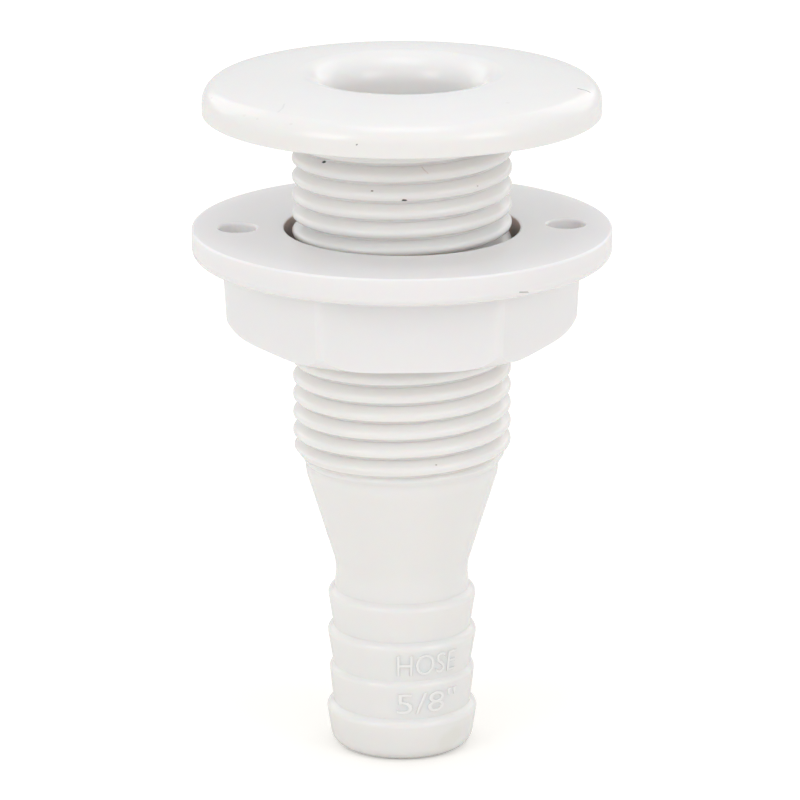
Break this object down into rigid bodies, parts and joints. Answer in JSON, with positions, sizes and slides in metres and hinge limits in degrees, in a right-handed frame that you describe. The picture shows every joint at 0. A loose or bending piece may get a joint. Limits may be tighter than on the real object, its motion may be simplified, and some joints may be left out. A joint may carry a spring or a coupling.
{
  "type": "thru-hull fitting",
  "caption": "White plastic thru-hull fitting: mushroom head, threaded shank with a flanged hexagon lock nut, reducing cone and a barbed tail for a hose.",
  "frame": {"origin": "centre of the head's seat, the flat ring under the head that lies against the outside of the hull", "axes": "+Z out of the hull along the waterway, so the shank and hose tail are at negative Z; +X through one of the nut's two screw holes; +Y completes the right-handed frame"},
  "size_m": [0.0486, 0.0486, 0.0811],
  "materials": {
    "body_plastic": "satin moulded nylon, off-white",
    "nut_plastic": "satin moulded nylon, off-white"
  },
  "bodies": {
    "fitting": {"fitting_body": "body_plastic"},
    "nut": {"flanged_lock_nut": "nut_plastic"}
  },
  "joints": [
    {"name": "nut_travel", "type": "slide", "parent": "fitting", "child": "nut", "axis": [0, 0, 1], "range_m": [-0.0135, 0.013]}
  ]
}
